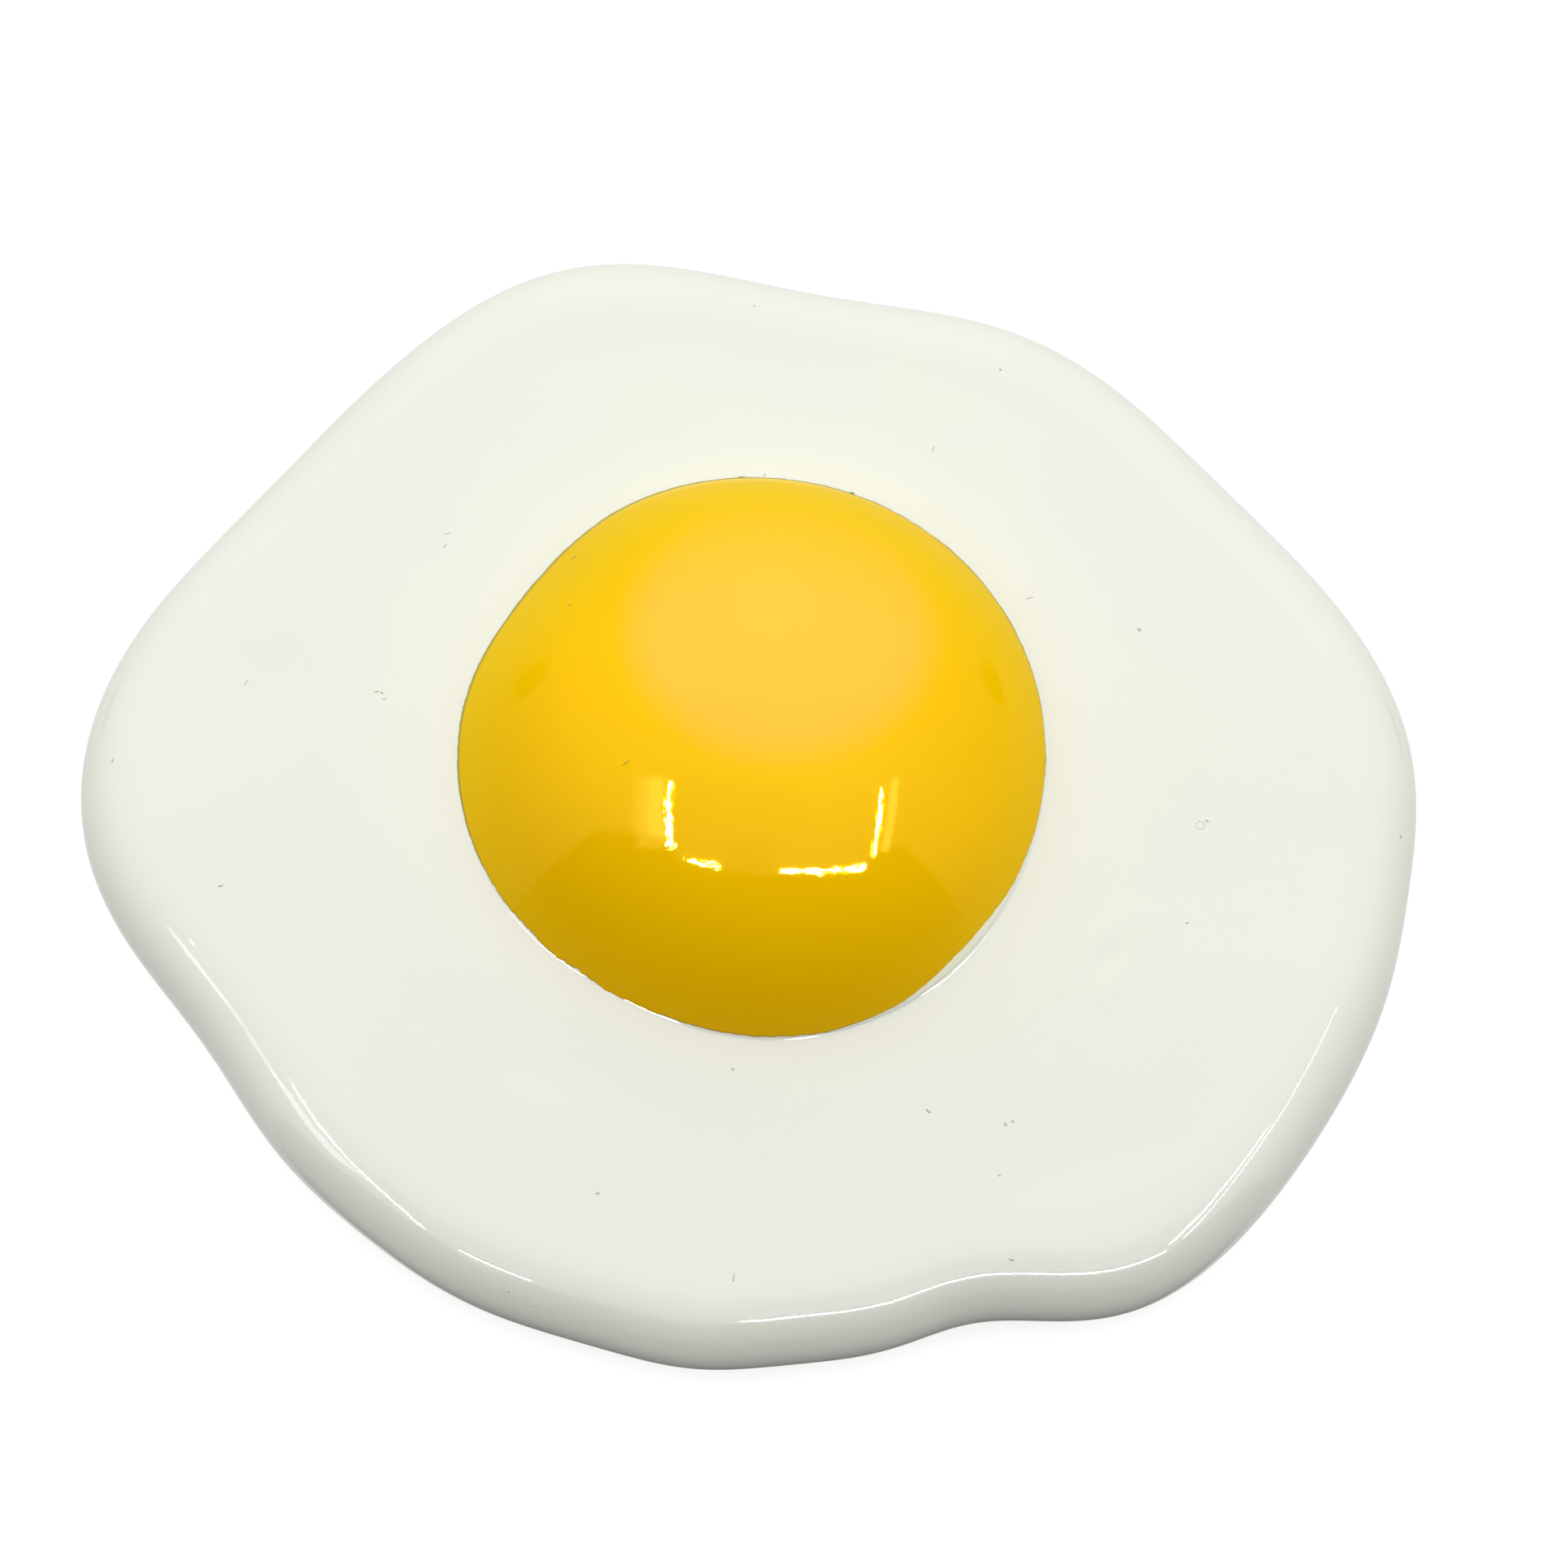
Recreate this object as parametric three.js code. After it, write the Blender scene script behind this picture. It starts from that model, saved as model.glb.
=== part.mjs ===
// A fried egg, sunny side up, made as a glossy moulded copy: a flat white with a
// rounded rim, and a domed yolk that stands a little behind the white's middle.
//
// Millimetres. +X is the egg's right, +Y its far side, +Z up. The egg rests on its
// flat underside at z = 0, with the white's outline centred on the origin.
// Bearings are degrees anticlockwise from +X, seen from above.

import * as THREE from 'three';

// ---- Driving dimensions ----

// The white's outline is an ellipse that these lobes push out or draw in.
const WHITE_HALF_WIDTH = 56.0;
const WHITE_HALF_DEPTH = 47.1;
const WHITE_LOBES = [
  { bearing: 32, reach: -4.4, spread: 23 },   // flattened far right
  { bearing: 79, reach: -1.9, spread: 17 },   // shallow bay on the far side
  { bearing: 109, reach: 2.5, spread: 16 },   // far shoulder
  { bearing: 149, reach: -4.0, spread: 21 },  // flattened far left
  { bearing: 206, reach: -4.8, spread: 17 },  // drawn in below the left tip
  { bearing: 229, reach: -1.3, spread: 12 },  // flattened near left
  { bearing: 265, reach: 1.0, spread: 9 },    // slight nose on the near side
  { bearing: 293, reach: -2.8, spread: 9 },   // dip before the big lobe
  { bearing: 306, reach: 4.0, spread: 21 },   // big lobe, near right
  { bearing: 351, reach: -0.9, spread: 10 },  // flattened right tip
];

// The rim is two quarter ellipses that meet at its widest line.
const RIM_UNDER_WIDTH = 4.5;
const RIM_UNDER_HEIGHT = 4.0;
const RIM_TOP_WIDTH = 6.5;
const RIM_TOP_HEIGHT = 5.0;
const RIM_HEIGHT = RIM_UNDER_HEIGHT + RIM_TOP_HEIGHT;

// Inside the rim the white climbs gently to the ledge that carries the yolk.
const MOUND_RISE = 0.6;
const LEDGE_HEIGHT = RIM_HEIGHT + MOUND_RISE;

// Soft swells (rise above 0) and hollows (rise below 0) on top of the white. Each has
// its centre, how far it reaches along its bearing, and how far across it.
const SWELLS = [
  { x: -13.5, y: -24.7, rise: -0.3, along: 9.0, across: 3.4, bearing: -32 },
  { x: -16.0, y: -30.5, rise: 0.2, along: 8.5, across: 3.4, bearing: -28 },
  { x: -14.5, y: -38.5, rise: 0.15, along: 5.0, across: 2.6, bearing: -15 },
  { x: -43.0, y: -3.0, rise: 0.2, along: 7.0, across: 5.0, bearing: 80 },
  { x: -39.5, y: 14.5, rise: 0.2, along: 7.0, across: 5.0, bearing: 40 },
  { x: 27.5, y: -32.2, rise: -0.4, along: 9.5, across: 3.2, bearing: 16 },
  { x: 26.0, y: -38.2, rise: 0.2, along: 8.0, across: 3.0, bearing: 10 },
  { x: 36.0, y: -19.0, rise: 0.25, along: 5.5, across: 4.5, bearing: 50 },
];

// The yolk is a spherical dome over a slightly uneven round foot.
const YOLK_X = 0.3;
const YOLK_Y = 1.7;
const YOLK_RADIUS = 23.8;
const YOLK_RISE = 14.0;
const YOLK_LOBES = [
  { bearing: 91, reach: 0.5, spread: 81 },    // a little longer toward the far side
  { bearing: 143, reach: -0.9, spread: 21 },  // flattened far left
  { bearing: 241, reach: -0.6, spread: 23 },  // flattened near left
  { bearing: 295, reach: 1.1, spread: 35 },   // fuller near right
];

// The crown leans this far to the right of the middle of the foot.
const CROWN_LEAN = 1.1;

// How finely the surfaces are divided.
const SPOKES = 144;
const RIM_STEPS = 6;
const FIELD_STEPS = 10;
const DOME_STEPS = 10;

// ---- Outlines ----

const radians = THREE.MathUtils.degToRad;

// Bearing of each spoke, in degrees.
const BEARINGS = Array.from({ length: SPOKES }, (_, i) => (360 * i) / SPOKES);

// How far the lobes push an outline outward at a bearing.
function lobeReach(lobes, bearing) {
  let reach = 0;
  for (const lobe of lobes) {
    const apart = THREE.MathUtils.euclideanModulo(bearing - lobe.bearing + 180, 360) - 180;
    reach += lobe.reach * Math.exp(-((apart / lobe.spread) ** 2));
  }
  return reach;
}

// Points of an outline given as a radius for each bearing about a centre.
function outlineAbout(centre, radiusAt) {
  return BEARINGS.map((bearing) => {
    const angle = radians(bearing);
    const arm = new THREE.Vector2(Math.cos(angle), Math.sin(angle));
    return arm.multiplyScalar(radiusAt(bearing)).add(centre);
  });
}

function whiteRadius(bearing) {
  const across = Math.cos(radians(bearing)) / WHITE_HALF_WIDTH;
  const deep = Math.sin(radians(bearing)) / WHITE_HALF_DEPTH;
  return 1 / Math.hypot(across, deep) + lobeReach(WHITE_LOBES, bearing);
}

function yolkRadius(bearing) {
  return YOLK_RADIUS + lobeReach(YOLK_LOBES, bearing);
}

// Moves an outline so that the middle of its bounding box is the origin.
function centred(outline) {
  const middle = new THREE.Box2().setFromPoints(outline).getCenter(new THREE.Vector2());
  return outline.map((point) => point.clone().sub(middle));
}

// Moves every point of an anticlockwise outline inward, square to the outline.
function insetBy(outline, inset) {
  return outline.map((point, i) => {
    const before = outline[(i + SPOKES - 1) % SPOKES];
    const after = outline[(i + 1) % SPOKES];
    const along = after.clone().sub(before).normalize();
    return new THREE.Vector2(point.x - inset * along.y, point.y + inset * along.x);
  });
}

// Lifts a plan outline to a height, given as a number or as a function of the point.
function ringAt(outline, height) {
  return outline.map((point) => {
    const z = typeof height === 'function' ? height(point) : height;
    return new THREE.Vector3(point.x, point.y, z);
  });
}

// ---- Solids ----

// Closes a stack of rings, given from the underside over the outside to the top,
// with a fan from the middle of the first ring and one from the middle of the last.
function solidFromRings(rings, bottomMiddle, topMiddle) {
  const points = [...rings.flat(), bottomMiddle, topMiddle];
  const bottom = points.length - 2;
  const top = points.length - 1;
  const lastRing = (rings.length - 1) * SPOKES;
  const faces = [];
  for (let i = 0; i < SPOKES; i += 1) {
    const next = (i + 1) % SPOKES;
    faces.push(bottom, next, i);
    for (let ring = 0; ring < lastRing; ring += SPOKES) {
      const above = ring + SPOKES;
      faces.push(ring + i, ring + next, above + next);
      faces.push(ring + i, above + next, above + i);
    }
    faces.push(lastRing + i, lastRing + next, top);
  }
  const geometry = new THREE.BufferGeometry().setFromPoints(points);
  geometry.setIndex(faces);
  geometry.computeVertexNormals();
  return geometry;
}

// The rim's section as [inset, height] pairs, from the underside up to the top.
function rimSection() {
  const section = [];
  for (let step = 0; step <= RIM_STEPS; step += 1) {
    const turn = radians((90 * step) / RIM_STEPS);
    const inset = RIM_UNDER_WIDTH * (1 - Math.sin(turn));
    section.push([inset, RIM_UNDER_HEIGHT * (1 - Math.cos(turn))]);
  }
  for (let step = 1; step <= RIM_STEPS; step += 1) {
    const turn = radians((90 * step) / RIM_STEPS);
    const inset = RIM_TOP_WIDTH * (1 - Math.cos(turn));
    section.push([inset, RIM_UNDER_HEIGHT + RIM_TOP_HEIGHT * Math.sin(turn)]);
  }
  return section;
}

// Height that the swells and hollows add at a point of the white's top.
function swellHeight(point) {
  let height = 0;
  for (const swell of SWELLS) {
    const turn = radians(swell.bearing);
    const dx = point.x - swell.x;
    const dy = point.y - swell.y;
    const along = (dx * Math.cos(turn) + dy * Math.sin(turn)) / swell.along;
    const across = (dy * Math.cos(turn) - dx * Math.sin(turn)) / swell.across;
    height += swell.rise * Math.exp(-(along ** 2) - across ** 2);
  }
  return height;
}

const yolkCentre = new THREE.Vector2(YOLK_X, YOLK_Y);
const yolkFoot = outlineAbout(yolkCentre, yolkRadius);

function whiteGeometry() {
  const outline = centred(outlineAbout(new THREE.Vector2(), whiteRadius));
  const rings = rimSection().map(([inset, height]) => ringAt(insetBy(outline, inset), height));
  const rimTop = insetBy(outline, RIM_TOP_WIDTH);
  for (let step = 1; step <= FIELD_STEPS; step += 1) {
    const inward = step / FIELD_STEPS;
    const climb = THREE.MathUtils.smoothstep(inward, 0, 1);
    // The swells fade out at the rim and at the yolk's ledge.
    const fade = Math.sin(Math.PI * inward) ** 0.5;
    const plan = rimTop.map((point, i) => point.clone().lerp(yolkFoot[i], inward));
    const height = (point) => RIM_HEIGHT + MOUND_RISE * climb + fade * swellHeight(point);
    rings.push(ringAt(plan, step < FIELD_STEPS ? height : LEDGE_HEIGHT));
  }
  const underMiddle = new THREE.Vector3(0, 0, 0);
  const ledgeMiddle = new THREE.Vector3(YOLK_X, YOLK_Y, LEDGE_HEIGHT);
  return solidFromRings(rings, underMiddle, ledgeMiddle);
}

// The dome is part of a sphere, widened or narrowed to follow the foot's outline, with
// its rings moved over step by step toward the leaning crown.
function yolkGeometry() {
  const sphereRadius = (YOLK_RADIUS ** 2 + YOLK_RISE ** 2) / (2 * YOLK_RISE);
  const footTurn = Math.asin(YOLK_RADIUS / sphereRadius);
  const rings = [ringAt(yolkFoot, LEDGE_HEIGHT)];
  for (let step = 1; step < DOME_STEPS; step += 1) {
    const turn = footTurn * (1 - step / DOME_STEPS);
    const share = Math.sin(turn) / Math.sin(footTurn);
    const drop = sphereRadius * (1 - Math.cos(turn));
    const middle = yolkCentre.clone();
    middle.x += CROWN_LEAN * (1 - share ** 4);
    const plan = yolkFoot.map((point) => point.clone().sub(yolkCentre).multiplyScalar(share));
    rings.push(ringAt(plan.map((point) => point.add(middle)), LEDGE_HEIGHT + YOLK_RISE - drop));
  }
  const footMiddle = new THREE.Vector3(YOLK_X, YOLK_Y, LEDGE_HEIGHT);
  const crown = new THREE.Vector3(YOLK_X + CROWN_LEAN, YOLK_Y, LEDGE_HEIGHT + YOLK_RISE);
  return solidFromRings(rings, footMiddle, crown);
}

// ---- The egg ----

function namedMesh(name, geometry, material) {
  const mesh = new THREE.Mesh(geometry, new THREE.MeshStandardMaterial(material));
  mesh.name = name;
  return mesh;
}

const egg = new THREE.Group();
egg.name = 'fried_egg';
egg.add(namedMesh('egg_white', whiteGeometry(), {
  color: 0xf0f1e6,
  roughness: 0.22,
  metalness: 0,
}));
egg.add(namedMesh('yolk', yolkGeometry(), {
  color: 0xf6bc00,
  roughness: 0.2,
  metalness: 0,
}));

export default egg;
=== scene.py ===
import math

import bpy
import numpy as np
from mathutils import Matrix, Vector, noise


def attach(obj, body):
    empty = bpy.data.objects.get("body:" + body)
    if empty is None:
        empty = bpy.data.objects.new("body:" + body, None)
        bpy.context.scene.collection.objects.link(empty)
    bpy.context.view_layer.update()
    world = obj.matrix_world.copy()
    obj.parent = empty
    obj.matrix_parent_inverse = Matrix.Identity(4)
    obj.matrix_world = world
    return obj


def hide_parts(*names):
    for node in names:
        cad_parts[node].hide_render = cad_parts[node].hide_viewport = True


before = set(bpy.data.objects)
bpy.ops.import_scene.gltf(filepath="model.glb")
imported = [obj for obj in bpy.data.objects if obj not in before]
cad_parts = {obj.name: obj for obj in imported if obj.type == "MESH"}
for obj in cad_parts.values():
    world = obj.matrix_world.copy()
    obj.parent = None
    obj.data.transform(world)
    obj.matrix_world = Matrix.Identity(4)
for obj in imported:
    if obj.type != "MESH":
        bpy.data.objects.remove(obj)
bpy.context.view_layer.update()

# Looks for a glossy moulded copy of a fried egg: the white is one casting with a rolled
# rim, and the yolk is a dome whose yellow paint ends in a ragged line at its foot.
#
# Blender works in metres. Lengths below are in millimetres, as in the part's source, and
# MM turns them into metres where they are used. +X is right, +Y away from the viewer, +Z
# up. Bearings are degrees anticlockwise from +X, seen from above.

MM = 0.001

# ---- Driving dimensions, as in the part's source ----

WHITE_HALF_WIDTH = 56.0
WHITE_HALF_DEPTH = 47.1
# Each lobe pushes an outline out or draws it in: (bearing, reach, spread).
WHITE_LOBES = [
    (32, -4.4, 23),   # flattened far right
    (79, -1.9, 17),   # shallow bay on the far side
    (109, 2.5, 16),   # far shoulder
    (149, -4.0, 21),  # flattened far left
    (206, -4.8, 17),  # drawn in below the left tip
    (229, -1.3, 12),  # flattened near left
    (265, 1.0, 9),    # slight nose on the near side
    (293, -2.8, 9),   # dip before the big lobe
    (306, 4.0, 21),   # big lobe, near right
    (351, -0.9, 10),  # flattened right tip
]

RIM_UNDER_WIDTH = 4.5
RIM_UNDER_HEIGHT = 4.0
RIM_TOP_WIDTH = 6.5
RIM_TOP_HEIGHT = 5.0
RIM_HEIGHT = RIM_UNDER_HEIGHT + RIM_TOP_HEIGHT
MOUND_RISE = 0.6
LEDGE_HEIGHT = RIM_HEIGHT + MOUND_RISE

# Swells and hollows of the white's top: (x, y, rise, along, across, bearing of along).
SWELLS = [
    (-13.5, -24.7, -0.3, 9.0, 3.4, -32),
    (-16.0, -30.5, 0.2, 8.5, 3.4, -28),
    (-14.5, -38.5, 0.15, 5.0, 2.6, -15),
    (-43.0, -3.0, 0.2, 7.0, 5.0, 80),
    (-39.5, 14.5, 0.2, 7.0, 5.0, 40),
    (27.5, -32.2, -0.4, 9.5, 3.2, 16),
    (26.0, -38.2, 0.2, 8.0, 3.0, 10),
    (36.0, -19.0, 0.25, 5.5, 4.5, 50),
]

YOLK_CENTRE = np.array([0.3, 1.7])
YOLK_RADIUS = 23.8
YOLK_RISE = 14.0
YOLK_LOBES = [
    (91, 0.5, 81),    # a little longer toward the far side
    (143, -0.9, 21),  # flattened far left
    (241, -0.6, 23),  # flattened near left
    (295, 1.1, 35),   # fuller near right
]
CROWN_SHIFT = np.array([1.1, 0.0])
# The sphere that the dome is cut from.
SPHERE_RADIUS = (YOLK_RADIUS**2 + YOLK_RISE**2) / (2 * YOLK_RISE)

# ---- Finer forms that only the looks carry ----

# The upper half of the rim is a little fuller than an ellipse, whose exponent is 2.
RIM_FULLNESS = 2.25
# At the yolk's foot the white first climbs a narrow ramp and then turns up into the
# dome. The ramp is part of a wide fillet with this reach, lowered by so much, toward a
# dome that lies lower; its two ends are rounded over the last two heights.
RAMP_REACH = 2.7
RAMP_DROP = 0.178
RAMP_DOME_DROP = 1.03
RAMP_ROUNDING = 0.02
FOOT_BLEND = 0.08
# The rings of the ramp start this share of the way from the rim to the foot.
RAMP_START = 0.98
# The small dimple on the right of the white and its raised rim, listed as the swells are.
DIMPLE = [(29.0, -15.8, 0.45, 3.9, 1.9, 50), (29.0, -15.8, -0.65, 2.8, 1.15, 50)]

# The yellow paint: its thickness, and how far up or down the foot it ends. The edge is
# a share of the foot's radius: 1 at the foot, less where the paint stops short of it.
PAINT_THICKNESS = 0.05
PAINT_EDGE = 1.002
PAINT_EDGE_LOBES = [
    (216, -0.002, 12),  # stops short, left
    (240, 0.003, 12),   # runs out over the ramp, near left
    (310, -0.011, 55),  # stops short along the near side
    (315, -0.016, 13),  # and most of all near right
]
PAINT_RAGGEDNESS = 0.0022
PAINT_RAGGED_LOBES = [(229, 0.006, 12)]   # drops and gaps, near left
# The edge wanders by layers of noise: (scale per millimetre, weight).
PAINT_NOISE = [(0.4, 1.0), (1.5, 0.8), (4.0, 0.6)]
# From its edge up to this share of the foot's radius the paint is a skirt over the
# foot. The first part of the skirt is a lip that thickens.
SKIRT_TOP = 0.95
LIP_PART = 0.25
# How far the paint's underside and its skirt stand off the white.
UNDERSIDE_LIFT = 0.004
SKIRT_LIFT = 0.006
# The white's own surface stops this share of the foot's radius in, under the paint, and
# the paint's underside goes on a little farther in.
CORE_EDGE = 0.965
UNDERSIDE_EDGE = CORE_EDGE - 0.002

# Dust and bits of hair caught in the gloss: (x, y, length, width, bearing).
SPECKS = [
    (21.2, 36.3, 0.28, 0.25, 0),
    (-51.9, 1.35, 0.47, 0.20, 85),
    (-41.2, 7.9, 0.55, 0.13, 62),
    (-30.4, 6.95, 0.40, 0.13, 25),
    (-30.0, 6.85, 0.35, 0.13, -30),
    (-29.8, 6.3, 0.40, 0.10, 10),
    (-25.0, 21.1, 0.55, 0.10, 10),
    (-25.2, 20.0, 0.50, 0.12, 55),
    (23.2, 15.2, 0.68, 0.10, 15),
    (37.2, -4.2, 0.34, 0.17, -20),
    (-11.7, -35.2, 0.36, 0.22, 20),
    (14.4, -28.6, 0.48, 0.21, -42),
    (20.4, -29.6, 0.34, 0.17, -60),
    (21.0, -29.4, 0.27, 0.20, 0),
    (-1.1, -25.2, 0.25, 0.20, -50),
    (15.4, 28.8, 0.48, 0.12, 75),
    (32.2, 12.5, 0.34, 0.27, -50),
    (0.4, 42.4, 0.36, 0.13, -50),
    (-1.0, -41.9, 0.68, 0.13, 83),
    (20.7, -40.4, 0.50, 0.20, -15),
    (19.9, -33.7, 0.22, 0.20, 0),
    (35.3, -12.9, 0.25, 0.20, 0),
    (53.1, -4.9, 0.42, 0.24, -60),
    (-42.5, -9.7, 0.36, 0.18, 5),
    (-18.7, -42.6, 0.50, 0.13, -75),
    (-18.1, -43.7, 0.36, 0.20, 10),
    (-16.7, -43.7, 0.28, 0.20, 0),
    (-14.3, 17.7, 0.70, 0.10, 35),
    (-14.4, 11.9, 0.50, 0.07, 60),
    (-9.5, -3.5, 0.60, 0.07, 35),
    (8.6, 24.6, 0.45, 0.30, 20),
    (-0.6, 26.1, 0.80, 0.07, 8),
    (1.3, 26.2, 0.50, 0.07, 80),
]
SPECK_RISE = 0.05
SPECK_UNEVENNESS = 0.6
# A shallow scratched ring on the right of the white, made of short pieces.
SCRATCH_CENTRE = (36.65, -4.6)
SCRATCH_RADIUS = 0.34
SCRATCH_WIDTH = 0.07
SCRATCH_PIECES = 12
SCRATCH_PIECE_LENGTH = 0.2

# ---- How finely the surfaces are divided ----

WHITE_SPOKES = 720
YOLK_SPOKES = 1440
UNDER_STEPS = 12
RIM_STEPS = 24
FIELD_STEPS = 46
RAMP_STEPS = 16
CORE_STEPS = 16
UNDERSIDE_STEPS = 4
SKIRT_STEPS = 12
DOME_STEPS = 44
SPECK_SIDES = 10

# ---- Colours and gloss ----

# Colours are linear RGB, and the scales of the shaders' noise are per metre.

# Noise seldom leaves its middle values, so clouds and smudges stretch these parts of it.
CLOUD_PART = (0.35, 0.65)
SMUDGE_PART = (0.3, 0.7)
# No stretch in plan, for a round fade.
ROUND = (1, 1, 0)

# The white is mottled with two shades. A faint warm halo of painted light lies on both sides of
# the yolk:
# it is wider than it is deep, and fades between these distances from the yolk's centre.
WHITE_SHADES = [(0.752, 0.766, 0.690), (0.758, 0.774, 0.682)]
PAINTED_HALO_LIGHT = (0.79, 0.805, 0.715)
PAINTED_HALO_STRETCH = (1, 1.25, 0)
PAINTED_HALO_REACH = (36.0, 24.0)
# The near side is painted a touch darker, as painted shade, from one place on Y to another.
NEAR_PAINTED_SHADE = (0.728, 0.743, 0.665)
NEAR_PAINTED_SHADE_REACH = (-14.0, -38.0)
# Painted light: the white is painted lighter where it runs up under the paint, between these
# heights, for light that comes through it.
FOOT_PAINTED_LIGHT = (0.97, 0.97, 0.76)
FOOT_PAINTED_LIGHT_HEIGHTS = (LEDGE_HEIGHT + 0.1, LEDGE_HEIGHT + 0.4)
# Each layer of ripples in a gloss: (scale of the noise, height).
WHITE_RIPPLES = [(130.0, 0.06), (900.0, 0.004)]

# The yolk's paint is mottled too. Painted shade makes it darkest far from one point, and a painted
# highlight makes it palest near another one.
YOLK_SHADES = [(0.96, 0.545, 0.0), (0.97, 0.555, 0.0)]
YOLK_PAINTED_SHADE = (0.77, 0.436, 0.0)
YOLK_PAINTED_SHADE_CENTRE = (4.0, 8.0)
YOLK_PAINTED_SHADE_STRETCH = (1.1, 0.97, 0)
YOLK_PAINTED_SHADE_REACH = (32.5, 21.0)
PAINTED_HIGHLIGHT_SHADE = (0.965, 0.55, 0.045)
PAINTED_HIGHLIGHT_CENTRE = (2.7, 8.5)
PAINTED_HIGHLIGHT_REACH = (13.5, 10.5)
# Shades of the far side, two of them painted light: (slant, from height, to height, shade). Each
# comes in from one height down to the other, and the slant raises both with the distance from the
# near side.
FAR_SHADES_AND_PAINTED_LIGHT = [
    (-0.35, 18.0, 8.0, (0.85, 0.55, 0.0)),
    # A painted reflection of the white: a pale band at the far edge.
    (-0.35, 3.5, 1.2, (0.92, 0.66, 0.10)),
    # A painted shadow in the crease at the paint's edge: a thin olive line.
    (-0.014, 9.93, 9.86, (0.50, 0.40, 0.05)),
]
YOLK_RIPPLES = [(500.0, 0.012), (2200.0, 0.0045)]

# The specks are greyish on the white and darker in the yolk's paint, which is where they
# lie nearer to the yolk's centre than this, in a narrow fade.
SPECK_SHADES = [(0.61, 0.60, 0.51), (0.71, 0.70, 0.61)]
YOLK_SPECK_SHADE = (0.24, 0.22, 0.12)
YOLK_SPECK_REACH = (25.6, 25.0)

# The paper floor is lit through, so the egg's shadow on it stays faint.
FLOOR_HALF_WIDTH = 6000.0
FLOOR_COLOUR = (0.5, 0.5, 0.495)
FLOOR_ROUGHNESS = 0.9
FLOOR_SPECULAR = 0.1
FLOOR_GLOW = 0.65

# ---- Light box ----

# The egg lies in a light box that glows on all sides but the front. Each pair is a
# height, from -1 straight down over 0 at the horizon to 1 overhead, and a brightness.
BOX_GLOW = [
    (-1.0, 0.88),
    (-0.35, 0.78),
    (-0.05, 0.69),
    (0.1, 0.76),
    (0.35, 0.95),
    (0.6, 1.23),
    (0.8, 1.46),
    (0.95, 1.39),
]
FRONT_GLOW = [(-1.0, 0.05), (-0.35, 0.61), (-0.1, 0.27), (0.1, 0.0), (0.8, 0.0)]
# Places in the ceiling are (x, y) on a level plane one unit above the egg, so they are
# directions as seen from it. The open front is bounded by the ceiling's front edge,
# given by its two ends, and by the front edges of the two side walls.
CEILING_EDGE = [(-1.66, -0.68), (1.77, -0.66)]
LEFT_WALL_BEARING = 201
RIGHT_WALL_BEARING = 336
# The camera looks in through a darker hatch in the ceiling, with these corners. A darker
# notch lies in its near edge.
HATCH = [(-0.61, -0.19), (-0.80, -0.86), (0.97, -0.86), (0.86, -0.17)]
HATCH_NOTCH = [(-0.38, -0.57), (-0.39, -0.87), (-0.02, -0.87), (-0.02, -0.57)]
HATCH_SHADE = 0.3
# The lights round the hatch make the ceiling glow near it: how much, and from how far
# off to how near, in degrees from this direction.
HATCH_MIDDLE = (0.15, -0.5, 1.0)
HATCH_GLOW = 0.4
HATCH_GLOW_REACH = (45, 16)
# The box's two dark rear corners at the floor: their directions and reach in degrees.
BOX_CORNERS = [(-0.84, 0.56, -0.02), (0.85, 0.5, -0.16)]
CORNER_REACH = (7, 3)
CORNER_SHADE = 1.0
# The edges of the front, the hatch and the notch fade over this much to each side, as
# the sine of an angle.
EDGE_SOFTNESS = 0.02
# The backdrop that the camera itself sees.
BACKDROP_STRENGTH = 0.9

# ---- Ceiling lights ----

# Light strips and soft panels hang round the camera at this height. Each has its two
# ends as places in the ceiling, its width on the same plane, and its brightness.
CEILING_HEIGHT = 600.0
STRIP_WIDTH = 0.025
RIM_STRIP_WIDTH = 0.018
STRIP_GLOW = 300
FAINT_STRIP_GLOW = STRIP_GLOW / 8
# The yolk mirrors less of the lamps' far ends than the white's rim and the ramp do, so
# each piece has a set of its own.
YOLK_LIGHTS = {
    "yolk_strip_left": ((-0.615, -0.235), (-0.765, -0.695), STRIP_WIDTH, STRIP_GLOW),
    "yolk_strip_near_left": ((-0.70, -0.825), (-0.48, -0.825), STRIP_WIDTH, STRIP_GLOW),
    "yolk_strip_near_right": ((0.0, -0.805), (0.80, -0.82), STRIP_WIDTH, STRIP_GLOW),
    "yolk_strip_right": ((0.94, -0.67), (0.87, -0.15), STRIP_WIDTH, STRIP_GLOW),
    "yolk_panel_faint": ((-0.80, -0.16), (-0.96, -0.73), 0.24, 1.0),
    "yolk_panel_soft": ((-0.77, -0.18), (-0.92, -0.71), 0.17, 1.1),
    "yolk_panel_bright": ((-0.72, -0.22), (-0.85, -0.62), 0.10, 2.2),
    "yolk_panel_right": ((1.08, -0.66), (1.03, -0.07), 0.08, 4.0),
}
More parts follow.
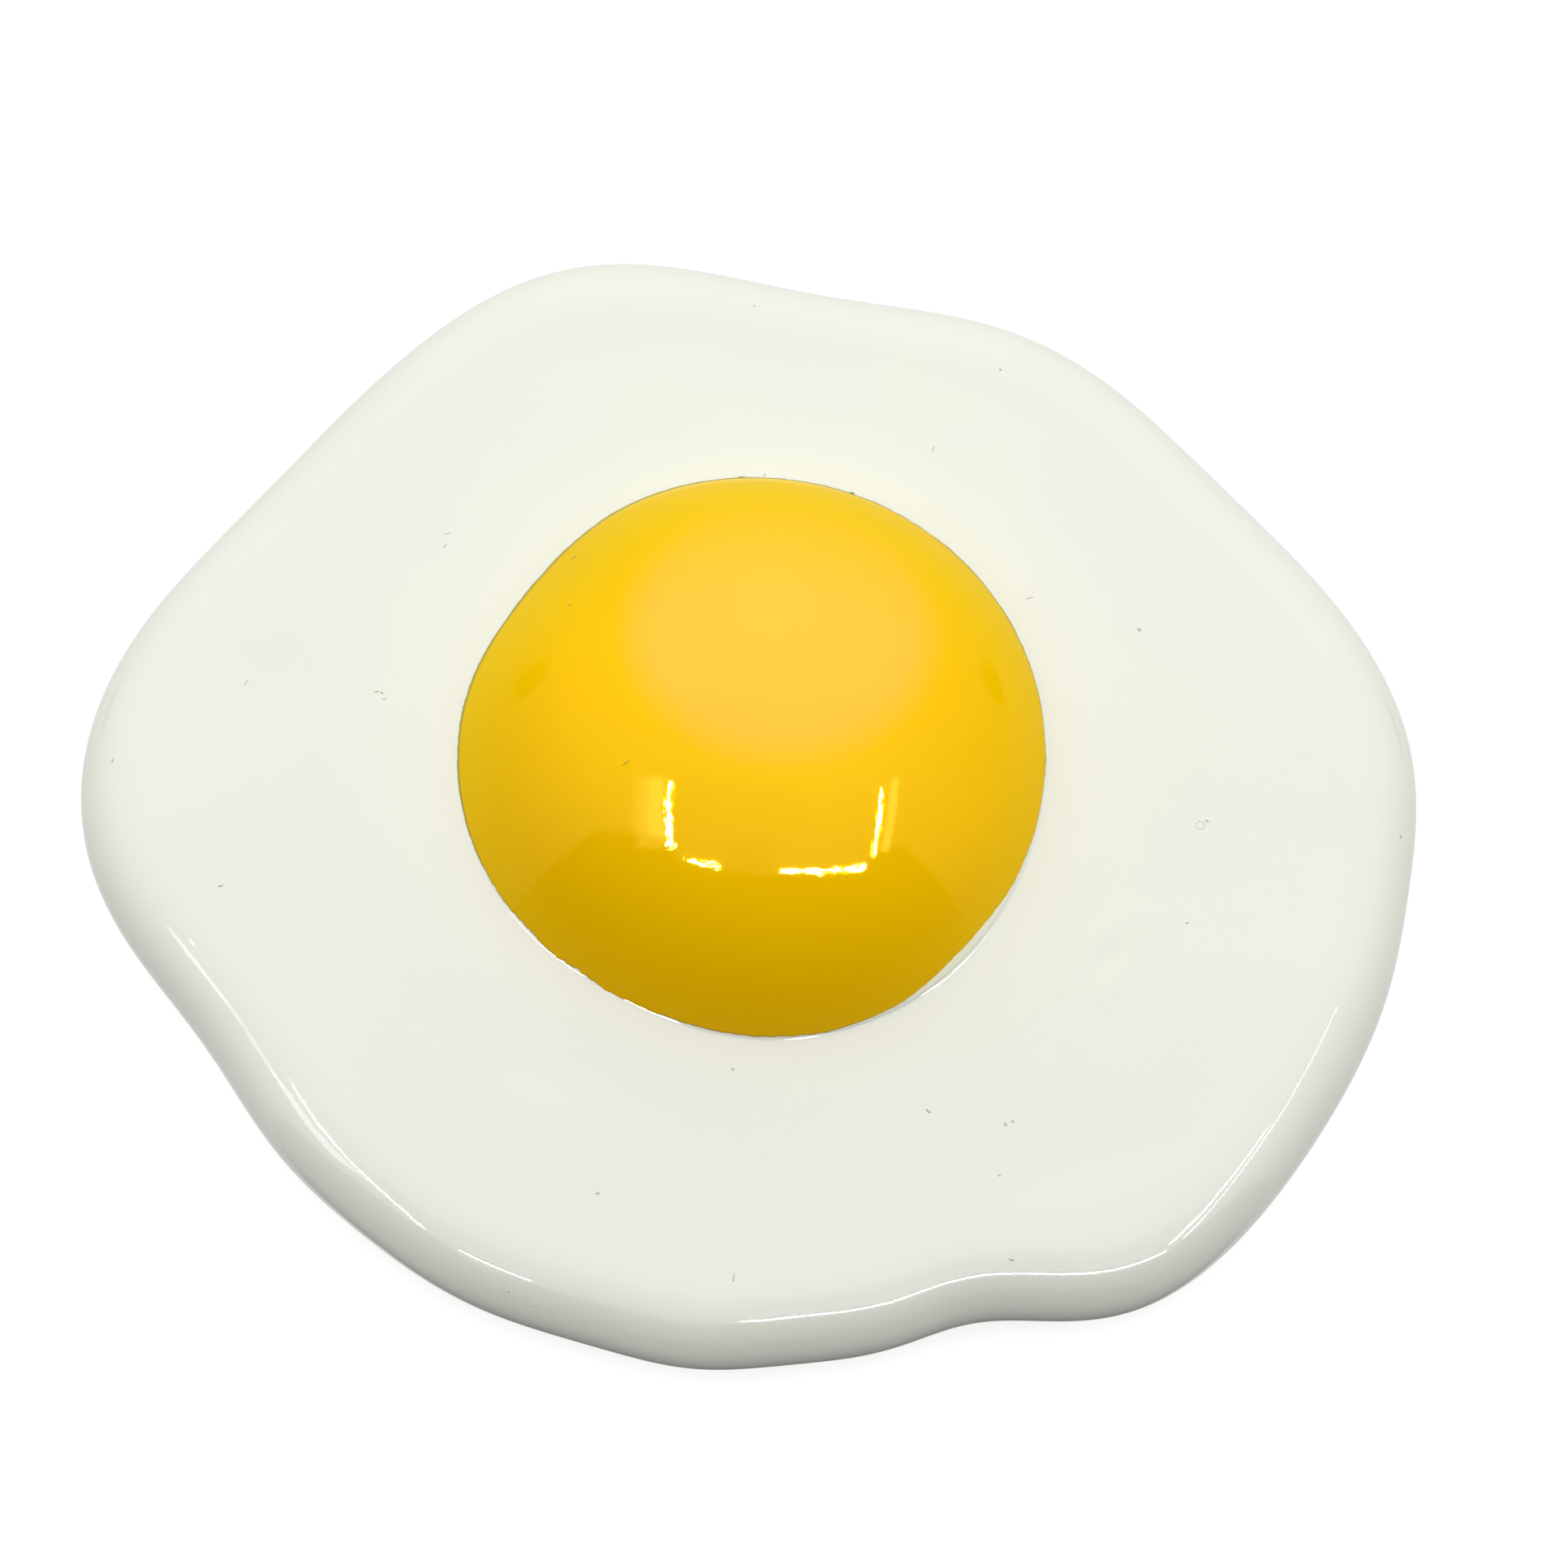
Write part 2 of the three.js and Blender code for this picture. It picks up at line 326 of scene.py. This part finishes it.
WHITE_LIGHTS = {
    "white_strip_left": ((-0.63, -0.035), (-0.77, -0.60), RIM_STRIP_WIDTH, STRIP_GLOW),
    "white_strip_near_left": ((-0.66, -0.70), (-0.45, -0.81), RIM_STRIP_WIDTH, STRIP_GLOW),
    "white_strip_near_right": ((0.03, -0.82), (0.80, -0.83), RIM_STRIP_WIDTH, STRIP_GLOW),
    "white_strip_right": ((0.77, -0.62), (0.76, -0.13), RIM_STRIP_WIDTH, STRIP_GLOW),
    "white_strip_outer": ((0.94, -0.67), (0.87, -0.15), RIM_STRIP_WIDTH, FAINT_STRIP_GLOW),
    "white_strip_end": ((0.87, -0.15), (0.87, 0.03), RIM_STRIP_WIDTH, FAINT_STRIP_GLOW),
    "white_panel_left": ((-0.89, -0.15), (-0.88, -0.48), 0.16, 4.0),
    "white_panel_end": ((-0.87, -0.13), (-0.95, -0.15), 0.05, 3.0),
}

# ---- Camera ----

# The camera looks down at the egg from 70 degrees above the table. One photo pixel is
# 1/15 mm or so at the egg: the lens is set for a photo 1932 pixels wide.
CAMERA_TARGET = (2.93, 0.52, 5.0)
CAMERA_ELEVATION = 70
CAMERA_DISTANCE = 350.0
CAMERA_LENS = 97.57
CAMERA_SENSOR = 36
# Nothing nearer or farther than this is drawn.
CAMERA_NEAREST = 10.0
CAMERA_FARTHEST = 50000.0


# ---- Outlines and heights ----


def bearings(spokes):
    return np.arange(spokes) * 360.0 / spokes


def lobe_reach(lobes, bearing):
    """How far the lobes push an outline out at each bearing."""
    reach = np.zeros_like(bearing)
    for centre, push, spread in lobes:
        apart = (bearing - centre + 180) % 360 - 180
        reach += push * np.exp(-((apart / spread) ** 2))
    return reach


def on_spokes(radius, bearing):
    angle = np.radians(bearing)
    return radius[:, None] * np.column_stack([np.cos(angle), np.sin(angle)])


def white_outline(spokes):
    """The white's outline, moved so that the middle of its box is the origin."""
    bearing = bearings(spokes)
    across = np.cos(np.radians(bearing)) / WHITE_HALF_WIDTH
    deep = np.sin(np.radians(bearing)) / WHITE_HALF_DEPTH
    radius = 1 / np.hypot(across, deep) + lobe_reach(WHITE_LOBES, bearing)
    outline = on_spokes(radius, bearing)
    return outline - (outline.max(axis=0) + outline.min(axis=0)) / 2


def yolk_radius(bearing):
    return YOLK_RADIUS + lobe_reach(YOLK_LOBES, bearing)


def inset_by(outline, inset):
    """Moves an anticlockwise outline inward, square to itself."""
    along = np.roll(outline, -1, axis=0) - np.roll(outline, 1, axis=0)
    along /= np.linalg.norm(along, axis=1)[:, None]
    return outline + inset * np.column_stack([-along[:, 1], along[:, 0]])


def swell_height(plan, swells):
    height = np.zeros(len(plan))
    for x, y, rise, along, across, bearing in swells:
        turn = math.radians(bearing)
        dx = plan[:, 0] - x
        dy = plan[:, 1] - y
        run = (dx * math.cos(turn) + dy * math.sin(turn)) / along
        side = (dy * math.cos(turn) - dx * math.sin(turn)) / across
        height += rise * np.exp(-(run**2) - side**2)
    return height


def crown_lean(share):
    """How far the dome is moved over, for its shares of the foot's radius."""
    return CROWN_SHIFT * (1 - np.minimum(share, 1)[:, None] ** 4)


def dome_height(share):
    """Height of the dome, for its shares of the foot's radius."""
    # Beyond the sphere's own radius the height stays at the sphere's middle.
    above_middle = np.sqrt(np.maximum(SPHERE_RADIUS**2 - (share * YOLK_RADIUS) ** 2, 0))
    return LEDGE_HEIGHT + YOLK_RISE - SPHERE_RADIUS + above_middle


def blended(low, high, reach):
    """The higher of two surfaces, rounded into a fillet where they come this near."""
    near = np.maximum(reach - np.abs(low - high), 0)
    return np.maximum(low, high) + near**2 / (4 * reach)


def foot_height(ledge, dome):
    """The white's top at the yolk's foot, over the ledge, the ramp and the dome."""
    ramp = blended(ledge, dome - RAMP_DOME_DROP, RAMP_REACH) - RAMP_DROP
    return blended(blended(ledge, ramp, RAMP_ROUNDING), dome, FOOT_BLEND)


def field_height(plan, inward):
    """The white's top on a ring of its field: inward is 0 at the rim and 1 at the foot."""
    # The climb is a smooth step, level at both ends.
    climb = inward**2 * (3 - 2 * inward)
    # The swells fade out at the rim and at the yolk's ledge.
    fade = math.sqrt(math.sin(math.pi * inward))
    height = RIM_HEIGHT + MOUND_RISE * climb + fade * swell_height(plan, SWELLS + DIMPLE)
    arm = plan - YOLK_CENTRE
    bearing = np.degrees(np.arctan2(arm[:, 1], arm[:, 0])) % 360
    share = np.linalg.norm(arm, axis=1) / yolk_radius(bearing)
    return foot_height(height, dome_height(share))


def foot_ring(share, spokes, lift=0.0):
    """A ring of the dome, or of the fillet at its foot, raised by lift off the surface."""
    share = np.broadcast_to(share, spokes)
    bearing = bearings(spokes)
    plan = YOLK_CENTRE + crown_lean(share) + on_spokes(yolk_radius(bearing) * share, bearing)
    height = foot_height(LEDGE_HEIGHT, dome_height(share))
    # The lift is square to the dome: outward as well as up.
    tilt = np.arcsin(share * YOLK_RADIUS / SPHERE_RADIUS)
    plan = plan + on_spokes(lift * np.sin(tilt), bearing)
    return np.column_stack([plan, height + lift * np.cos(tilt)])


# ---- Meshes ----


def new_object(name, data):
    added = bpy.data.objects.new(name, data)
    bpy.context.scene.collection.objects.link(added)
    return added


def new_piece(name, points, faces):
    mesh = bpy.data.meshes.new(name)
    mesh.from_pydata(points, [], faces)
    mesh.shade_smooth()
    return new_object(name, mesh)


def solid_from_rings(name, rings, bottom_middle, top_middle):
    """Closes a stack of rings, from the underside over the outside to the top."""
    spokes = len(rings[0])
    points = np.vstack([*rings, bottom_middle, top_middle]) * MM
    bottom = len(points) - 2
    top = len(points) - 1
    last = (len(rings) - 1) * spokes
    faces = []
    for i in range(spokes):
        following = (i + 1) % spokes
        faces.append((bottom, following, i))
        for ring in range(0, last, spokes):
            above = ring + spokes
            faces.append((ring + i, ring + following, above + following, above + i))
        faces.append((last + i, last + following, top))
    return new_piece(name, points.tolist(), faces)


def rim_section():
    """(inset, height) along the rim's section, from the underside up to the top."""
    section = []
    for turn in np.linspace(0, math.pi / 2, UNDER_STEPS + 1):
        inset = RIM_UNDER_WIDTH * (1 - math.sin(turn))
        section.append((inset, RIM_UNDER_HEIGHT * (1 - math.cos(turn))))
    for turn in np.linspace(0, math.pi / 2, RIM_STEPS + 1)[1:]:
        inset = RIM_TOP_WIDTH * (1 - abs(math.cos(turn)) ** (2 / RIM_FULLNESS))
        climb = RIM_TOP_HEIGHT * math.sin(turn) ** (2 / RIM_FULLNESS)
        section.append((inset, RIM_UNDER_HEIGHT + climb))
    return section


def make_white():
    outline = white_outline(WHITE_SPOKES)
    rings = []
    for inset, height in rim_section():
        rings.append(np.column_stack([inset_by(outline, inset), np.full(WHITE_SPOKES, height)]))
    rim_top = inset_by(outline, RIM_TOP_WIDTH)
    bearing = bearings(WHITE_SPOKES)
    foot = YOLK_CENTRE + on_spokes(yolk_radius(bearing), bearing)
    field = np.linspace(0, RAMP_START, FIELD_STEPS + 1)[1:]
    ramp = np.linspace(RAMP_START, 1, RAMP_STEPS + 1)[1:]
    for inward in [*field, *ramp]:
        plan = rim_top + (foot - rim_top) * inward
        rings.append(np.column_stack([plan, field_height(plan, inward)]))
    for share in np.linspace(1, CORE_EDGE, CORE_STEPS + 1)[1:]:
        rings.append(foot_ring(share, WHITE_SPOKES))
    top = [*YOLK_CENTRE, rings[-1][:, 2].mean()]
    return solid_from_rings("egg_white_casting", rings, [0, 0, 0], top)


def paint_edge():
    """The share of the foot's radius at which the paint ends, for each spoke."""
    bearing = bearings(YOLK_SPOKES)
    edge = PAINT_EDGE + lobe_reach(PAINT_EDGE_LOBES, bearing)
    ragged = PAINT_RAGGEDNESS + lobe_reach(PAINT_RAGGED_LOBES, bearing)
    for i, angle in enumerate(np.radians(bearing)):
        at = Vector((math.cos(angle), math.sin(angle), 0.0)) * YOLK_RADIUS
        wander = sum(weight * noise.noise(at * scale) for scale, weight in PAINT_NOISE)
        edge[i] += ragged[i] * wander
    return edge


def skirt_lift(step):
    """How far the paint's outside stands off the white, from its edge (0) up the skirt (1)."""
    if step >= LIP_PART:
        return SKIRT_LIFT + PAINT_THICKNESS
    # The paint thins out to a rounded lip at its edge.
    return SKIRT_LIFT + PAINT_THICKNESS * math.sqrt(1 - (1 - step / LIP_PART) ** 2)


def make_yolk():
    edge = paint_edge()
    rings = [foot_ring(UNDERSIDE_EDGE, YOLK_SPOKES, UNDERSIDE_LIFT)]
    for step in np.linspace(0, 1, UNDERSIDE_STEPS + 1)[:-1]:
        rings.append(foot_ring(CORE_EDGE + (edge - CORE_EDGE) * step, YOLK_SPOKES, UNDERSIDE_LIFT))
    for step in np.linspace(0, 1, SKIRT_STEPS + 1):
        rings.append(foot_ring(edge + (SKIRT_TOP - edge) * step, YOLK_SPOKES, skirt_lift(step)))
    for step in range(1, DOME_STEPS):
        share = SKIRT_TOP * math.sin(math.pi / 2 * (1 - step / DOME_STEPS))
        rings.append(foot_ring(share, YOLK_SPOKES, PAINT_THICKNESS))
    crown = [*(YOLK_CENTRE + CROWN_SHIFT), LEDGE_HEIGHT + YOLK_RISE + PAINT_THICKNESS]
    base = [*YOLK_CENTRE, rings[0][:, 2].mean()]
    return solid_from_rings("yolk_dome", rings, base, crown)


def top_of(surfaces, x, y):
    """The highest place of the surfaces at a point of the plan, and the normal there."""
    above_the_egg = Vector((x, y, 3 * LEDGE_HEIGHT)) * MM
    hits = [surface.ray_cast(above_the_egg, Vector((0, 0, -1))) for surface in surfaces]
    _, place, normal, _ = max(hits, key=lambda hit: hit[1].z)
    return place, normal


def add_speck(surfaces, points, faces, speck):
    """Adds an uneven lens that lies half sunk in the surface below it."""
    x, y, length, width, bearing = speck
    place, normal = top_of(surfaces, x, y)
    turn = math.radians(bearing)
    along = Vector((math.cos(turn), math.sin(turn), 0))
    along = (along - along.dot(normal) * normal).normalized()
    across = normal.cross(along)
    first = len(points)
    for side in range(SPECK_SIDES):
        angle = 2 * math.pi * side / SPECK_SIDES
        uneven = 1 + SPECK_UNEVENNESS * noise.noise(Vector((x, y, side)))
        arm = along * math.cos(angle) * length + across * math.sin(angle) * width
        points.append(place + arm * uneven * MM / 2)
    points.append(place - normal * SPECK_RISE * MM)
    points.append(place + normal * SPECK_RISE * MM)
    bottom = first + SPECK_SIDES
    top = bottom + 1
    for side in range(SPECK_SIDES):
        here = first + side
        following = first + (side + 1) % SPECK_SIDES
        faces.append((bottom, following, here))
        faces.append((here, following, top))


def make_specks(surfaces):
    bpy.context.view_layer.update()
    points = []
    faces = []
    for speck in SPECKS:
        add_speck(surfaces, points, faces, speck)
    # Each piece of the scratched ring lies square to its radius.
    for bearing in bearings(SCRATCH_PIECES):
        angle = math.radians(bearing)
        x = SCRATCH_CENTRE[0] + SCRATCH_RADIUS * math.cos(angle)
        y = SCRATCH_CENTRE[1] + SCRATCH_RADIUS * math.sin(angle)
        piece = (x, y, SCRATCH_PIECE_LENGTH, SCRATCH_WIDTH, bearing + 90)
        add_speck(surfaces, points, faces, piece)
    return new_piece("surface_specks", points, faces)


# ---- Shader nodes ----


def feed(tree, value, socket):
    """Links a socket to another one, or sets it to a number or a colour."""
    if isinstance(value, bpy.types.NodeSocket):
        tree.links.new(value, socket)
    elif isinstance(value, tuple):
        socket.default_value = (*value, 1)
    else:
        socket.default_value = value


# Each function from here on adds nodes to a tree and gives back the result's socket.


def ranged(tree, value, start, end, to_start=0.0, to_end=1.0):
    """Stretches the values from start to end over another range, and stops at its ends."""
    node = tree.nodes.new("ShaderNodeMapRange")
    node.inputs["From Min"].default_value = start
    node.inputs["From Max"].default_value = end
    node.inputs["To Min"].default_value = to_start
    node.inputs["To Max"].default_value = to_end
    tree.links.new(value, node.inputs["Value"])
    return node.outputs["Result"]


def mixed(tree, share, first, second):
    node = tree.nodes.new("ShaderNodeMix")
    node.data_type = "RGBA"
    feed(tree, share, node.inputs["Factor"])
    feed(tree, first, node.inputs["A"])
    feed(tree, second, node.inputs["B"])
    return node.outputs["Result"]


def calculated(tree, operation, first, second):
    node = tree.nodes.new("ShaderNodeMath")
    node.operation = operation
    feed(tree, first, node.inputs[0])
    feed(tree, second, node.inputs[1])
    return node.outputs["Value"]


def vector_maths(tree, operation, vector, other=(0, 0, 0)):
    """An operation on vectors, whose result is in either the Vector or the Value socket."""
    node = tree.nodes.new("ShaderNodeVectorMath")
    node.operation = operation
    tree.links.new(vector, node.inputs[0])
    node.inputs[1].default_value = other
    return node.outputs


def toward(tree, place, axis):
    """How far a place or direction lies along an axis."""
    return vector_maths(tree, "DOT_PRODUCT", place, axis)["Value"]


def along_axis(tree, place, axis, reach):
    """0 short of the first distance along an axis, rising to 1 at the second."""
    start, end = (distance * MM for distance in reach)
    return ranged(tree, toward(tree, place, axis), start, end)


def nearness(tree, place, centre, stretch, reach):
    """0 beyond the first distance from a centre in plan, rising to 1 within the second."""
    offset = vector_maths(tree, "SUBTRACT", place, Vector((*centre, 0)) * MM)["Vector"]
    stretched = vector_maths(tree, "MULTIPLY", offset, stretch)["Vector"]
    length = vector_maths(tree, "LENGTH", stretched)["Value"]
    start, end = (distance * MM for distance in reach)
    return ranged(tree, length, start, end)


def noise_field(tree, place, scale):
    texture = tree.nodes.new("ShaderNodeTexNoise")
    texture.inputs["Scale"].default_value = scale
    tree.links.new(place, texture.inputs["Vector"])
    return texture.outputs["Fac"]


def mottled(tree, place, scale, shades):
    """Two shades that blend into each other in soft clouds."""
    cloud = noise_field(tree, place, scale)
    return mixed(tree, ranged(tree, cloud, *CLOUD_PART), *shades)


def smudged(tree, place, scale, low, high):
    """A roughness that wanders between two values."""
    return ranged(tree, noise_field(tree, place, scale), *SMUDGE_PART, low, high)


def rippled(tree, place, ripples):
    """The normal of a surface with layers of ripples, one over the other."""
    normal = None
    for scale, height in ripples:
        node = tree.nodes.new("ShaderNodeBump")
        node.inputs["Distance"].default_value = height * MM
        tree.links.new(noise_field(tree, place, scale), node.inputs["Height"])
        if normal is not None:
            tree.links.new(normal, node.inputs["Normal"])
        normal = node.outputs["Normal"]
    return normal


# ---- Materials ----


def new_material(name):
    """A new material, its node tree and its shader."""
    material = bpy.data.materials.new(name)
    material.use_nodes = True
    tree = material.node_tree
    return material, tree, tree.nodes["Principled BSDF"]


def object_place(tree):
    return tree.nodes.new("ShaderNodeTexCoord").outputs["Object"]


def white_material():
    material, tree, shader = new_material("white_gloss")
    place = object_place(tree)
    colour = mottled(tree, place, scale=55.0, shades=WHITE_SHADES)
    # Painted light: a faint warm halo, lighter than the white, on both sides of the yolk.
    painted_halo = nearness(tree, place, YOLK_CENTRE, PAINTED_HALO_STRETCH, PAINTED_HALO_REACH)
    colour = mixed(tree, painted_halo, colour, PAINTED_HALO_LIGHT)
    # Painted shade: the near side a touch darker.
    near_painted_shade = along_axis(tree, place, (0, 1, 0), NEAR_PAINTED_SHADE_REACH)
    colour = mixed(tree, near_painted_shade, colour, NEAR_PAINTED_SHADE)
    # Painted light: lighter where the white runs up under the paint.
    foot_painted_light = along_axis(tree, place, (0, 0, 1), FOOT_PAINTED_LIGHT_HEIGHTS)
    colour = mixed(tree, foot_painted_light, colour, FOOT_PAINTED_LIGHT)
    feed(tree, colour, shader.inputs["Base Color"])
    roughness = smudged(tree, place, scale=140.0, low=0.02, high=0.04)
    feed(tree, roughness, shader.inputs["Roughness"])
    feed(tree, rippled(tree, place, WHITE_RIPPLES), shader.inputs["Normal"])
    shader.inputs["IOR"].default_value = 1.5
    return material


def yolk_material():
    material, tree, shader = new_material("yolk_gloss")
    place = object_place(tree)
    colour = mottled(tree, place, scale=90.0, shades=YOLK_SHADES)
    # Painted shade darkens it low on the near side, and a painted highlight makes it paler behind
    # the crown.
    middle = nearness(tree, place, YOLK_PAINTED_SHADE_CENTRE, YOLK_PAINTED_SHADE_STRETCH, YOLK_PAINTED_SHADE_REACH)
    colour = mixed(tree, middle, YOLK_PAINTED_SHADE, colour)
    painted_highlight = nearness(tree, place, PAINTED_HIGHLIGHT_CENTRE, ROUND, PAINTED_HIGHLIGHT_REACH)
    colour = mixed(tree, painted_highlight, colour, PAINTED_HIGHLIGHT_SHADE)
    # It turns lemon down the far side, takes a pale painted reflection of the white at the far
    # edge, and ends in a painted shadow, an olive line in the crease.
    for slant, from_height, to_height, shade in FAR_SHADES_AND_PAINTED_LIGHT:
        share = along_axis(tree, place, (0, slant, 1), (from_height, to_height))
        colour = mixed(tree, share, colour, shade)
    feed(tree, colour, shader.inputs["Base Color"])
    roughness = smudged(tree, place, scale=160.0, low=0.03, high=0.05)
    feed(tree, roughness, shader.inputs["Roughness"])
    ripples = rippled(tree, place, YOLK_RIPPLES)
    feed(tree, ripples, shader.inputs["Normal"])
    feed(tree, ripples, shader.inputs["Coat Normal"])
    # The pigment has a slight metallic lustre, and a thin clear skin gives the gloss.
    shader.inputs["Metallic"].default_value = 0.06
    shader.inputs["IOR"].default_value = 1.5
    shader.inputs["Specular IOR Level"].default_value = 0.0
    shader.inputs["Coat Weight"].default_value = 0.13
    shader.inputs["Coat Roughness"].default_value = 0.02
    shader.inputs["Coat IOR"].default_value = 1.5
    return material


def speck_material():
    material, tree, shader = new_material("dust")
    place = object_place(tree)
    colour = mottled(tree, place, scale=200.0, shades=SPECK_SHADES)
    in_paint = nearness(tree, place, YOLK_CENTRE, ROUND, YOLK_SPECK_REACH)
    colour = mixed(tree, in_paint, colour, YOLK_SPECK_SHADE)
    feed(tree, colour, shader.inputs["Base Color"])
    roughness = smudged(tree, place, scale=3000.0, low=0.5, high=0.8)
    feed(tree, roughness, shader.inputs["Roughness"])
    return material


# ---- Stage, light and camera ----


def make_floor():
    half = FLOOR_HALF_WIDTH * MM
    corners = [(-half, -half, 0), (half, -half, 0), (half, half, 0), (-half, half, 0)]
    floor = new_piece("floor", corners, [(0, 1, 2, 3)])
    material, _, shader = new_material("floor_paper")
    shader.inputs["Base Color"].default_value = (*FLOOR_COLOUR, 1)
    shader.inputs["Roughness"].default_value = FLOOR_ROUGHNESS
    shader.inputs["Specular IOR Level"].default_value = FLOOR_SPECULAR
    shader.inputs["Emission Color"].default_value = (1, 1, 1, 1)
    shader.inputs["Emission Strength"].default_value = FLOOR_GLOW
    floor.data.materials.append(material)
    # The light that comes up from below is the light box's own lower half.
    floor.visible_diffuse = False
    floor.visible_glossy = False
    floor.visible_shadow = False


def edge_planes(corners):
    """A normal for each edge of an anticlockwise outline in the ceiling, pointing inward."""
    arms = [Vector((x, y, 1)) for x, y in corners]
    return [arm.cross(after).normalized() for arm, after in zip(arms, arms[1:] + arms[:1])]


def front_planes():
    """A normal for each edge of the open front, pointing out through the front."""
    left_end, right_end = (Vector((x, y, 1)) for x, y in CEILING_EDGE)
    left = math.radians(LEFT_WALL_BEARING)
    right = math.radians(RIGHT_WALL_BEARING)
    ceiling = right_end.cross(left_end).normalized()
    return [ceiling, (-math.sin(left), math.cos(left), 0), (math.sin(right), -math.cos(right), 0)]


def inside(tree, direction, planes):
    """1 for a direction on the inner side of every plane and 0 elsewhere, softly edged."""
    share = 1.0
    for plane in planes:
        depth = toward(tree, direction, plane)
        edge = ranged(tree, depth, -EDGE_SOFTNESS, EDGE_SOFTNESS)
        share = calculated(tree, "MULTIPLY", share, edge)
    return share


def within(tree, direction, middle, reach):
    """0 farther than the first angle from a direction, rising to 1 within the second."""
    depth = toward(tree, direction, Vector(middle).normalized())
    start, end = (math.cos(math.radians(angle)) for angle in reach)
    return ranged(tree, depth, start, end)


def glow_ramp(tree, height, glow):
    """The brightness at a height, from pairs of a height and a brightness."""
    ramp = tree.nodes.new("ShaderNodeValToRGB")
    stops = ramp.color_ramp.elements
    while len(stops) < len(glow):
        stops.new(0.5)
    for stop, (level, brightness) in zip(stops, glow):
        stop.position = (level + 1) / 2
        stop.color = (brightness, brightness, brightness, 1)
    tree.links.new(height, ramp.inputs["Fac"])
    return ramp.outputs["Color"]


def make_light_box():
    world = bpy.data.worlds.new("light_box")
    bpy.context.scene.world = world
    world.use_nodes = True
    tree = world.node_tree
    direction = tree.nodes.new("ShaderNodeTexCoord").outputs["Generated"]
    height = ranged(tree, toward(tree, direction, (0, 0, 1)), -1.0, 1.0)

    # Where the hatch reaches past the ceiling's edge it is seen instead of the open front.
    hatch = inside(tree, direction, edge_planes(HATCH))
    front = inside(tree, direction, front_planes())
    behind_hatch = calculated(tree, "MULTIPLY", front, hatch)
    front = calculated(tree, "SUBTRACT", front, behind_hatch)
    box_glow = glow_ramp(tree, height, BOX_GLOW)
    light = mixed(tree, front, box_glow, glow_ramp(tree, height, FRONT_GLOW))

    # Near the hatch the ceiling is brighter, and the hatch itself is darker.
    glow = within(tree, direction, HATCH_MIDDLE, HATCH_GLOW_REACH)
    glow = calculated(tree, "MULTIPLY", glow, HATCH_GLOW)
    ceiling = calculated(tree, "SUBTRACT", 1.0, front)
    brighter = calculated(tree, "MULTIPLY", glow, ceiling)
    strength = calculated(tree, "ADD", brighter, 1.0)
    notch = inside(tree, direction, edge_planes(HATCH_NOTCH))
    shades = [(hatch, HATCH_SHADE), (notch, HATCH_SHADE)]
    for corner in BOX_CORNERS:
        shades.append((within(tree, direction, corner, CORNER_REACH), CORNER_SHADE))
    for share, depth in shades:
        shade = calculated(tree, "MULTIPLY", share, depth)
        strength = calculated(tree, "SUBTRACT", strength, shade)

    box = tree.nodes["Background"]
    feed(tree, light, box.inputs["Color"])
    feed(tree, strength, box.inputs["Strength"])
    backdrop = tree.nodes.new("ShaderNodeBackground")
    backdrop.inputs["Strength"].default_value = BACKDROP_STRENGTH
    either = tree.nodes.new("ShaderNodeMixShader")
    seen_directly = tree.nodes.new("ShaderNodeLightPath").outputs["Is Camera Ray"]
    feed(tree, seen_directly, either.inputs["Fac"])
    feed(tree, box.outputs["Background"], either.inputs[1])
    feed(tree, backdrop.outputs["Background"], either.inputs[2])
    feed(tree, either.outputs["Shader"], tree.nodes["World Output"].inputs["Surface"])


def make_ceiling_light(name, start, end, width, glow, piece):
    """Makes a lamp in the ceiling that lights one piece alone."""
    rise = CEILING_HEIGHT * MM
    first, last = (Vector((*place, 1)) * rise for place in (start, end))
    light = bpy.data.lights.new(name, "AREA")
    light.shape = "RECTANGLE"
    light.size = (last - first).length
    light.size_y = width * rise
    # The power of an area light that faces the egg with this radiance.
    light.energy = glow * math.pi * light.size * light.size_y
    lamp = new_object(name, light)
    middle = (first + last) / 2
    back = middle.normalized()
    side = back.cross(last - first).normalized()
    run = side.cross(back)
    lamp.matrix_world = Matrix.LocRotScale(middle, Matrix((run, side, back)).transposed(), None)
    # These lights only make highlights; the box lights the egg.
    lamp.visible_diffuse = False
    lamp.light_linking.receiver_collection = bpy.data.collections.new(name)
    lamp.light_linking.receiver_collection.objects.link(piece)


def make_camera():
    data = bpy.data.cameras.new("camera")
    data.lens = CAMERA_LENS
    data.sensor_width = CAMERA_SENSOR
    data.clip_start = CAMERA_NEAREST * MM
    data.clip_end = CAMERA_FARTHEST * MM
    camera = new_object("camera", data)
    rise = math.radians(CAMERA_ELEVATION)
    back = Vector((0, -math.cos(rise), math.sin(rise)))
    camera.location = Vector(CAMERA_TARGET) * MM + back * (CAMERA_DISTANCE * MM)
    camera.rotation_mode = "QUATERNION"
    camera.rotation_quaternion = (-back).to_track_quat("-Z", "Y")
    bpy.context.scene.camera = camera


make_camera()
make_light_box()
make_floor()

white = make_white()
white.data.materials.append(white_material())
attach(white, "root")
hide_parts("egg_white")

yolk = make_yolk()
yolk.data.materials.append(yolk_material())
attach(yolk, "root")
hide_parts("yolk")

specks = make_specks([white, yolk])
specks.data.materials.append(speck_material())
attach(specks, "root")

for lights, piece in [(YOLK_LIGHTS, yolk), (WHITE_LIGHTS, white)]:
    for name, values in lights.items():
        make_ceiling_light(name, *values, piece)

bpy.context.scene.view_settings.view_transform = "Standard"
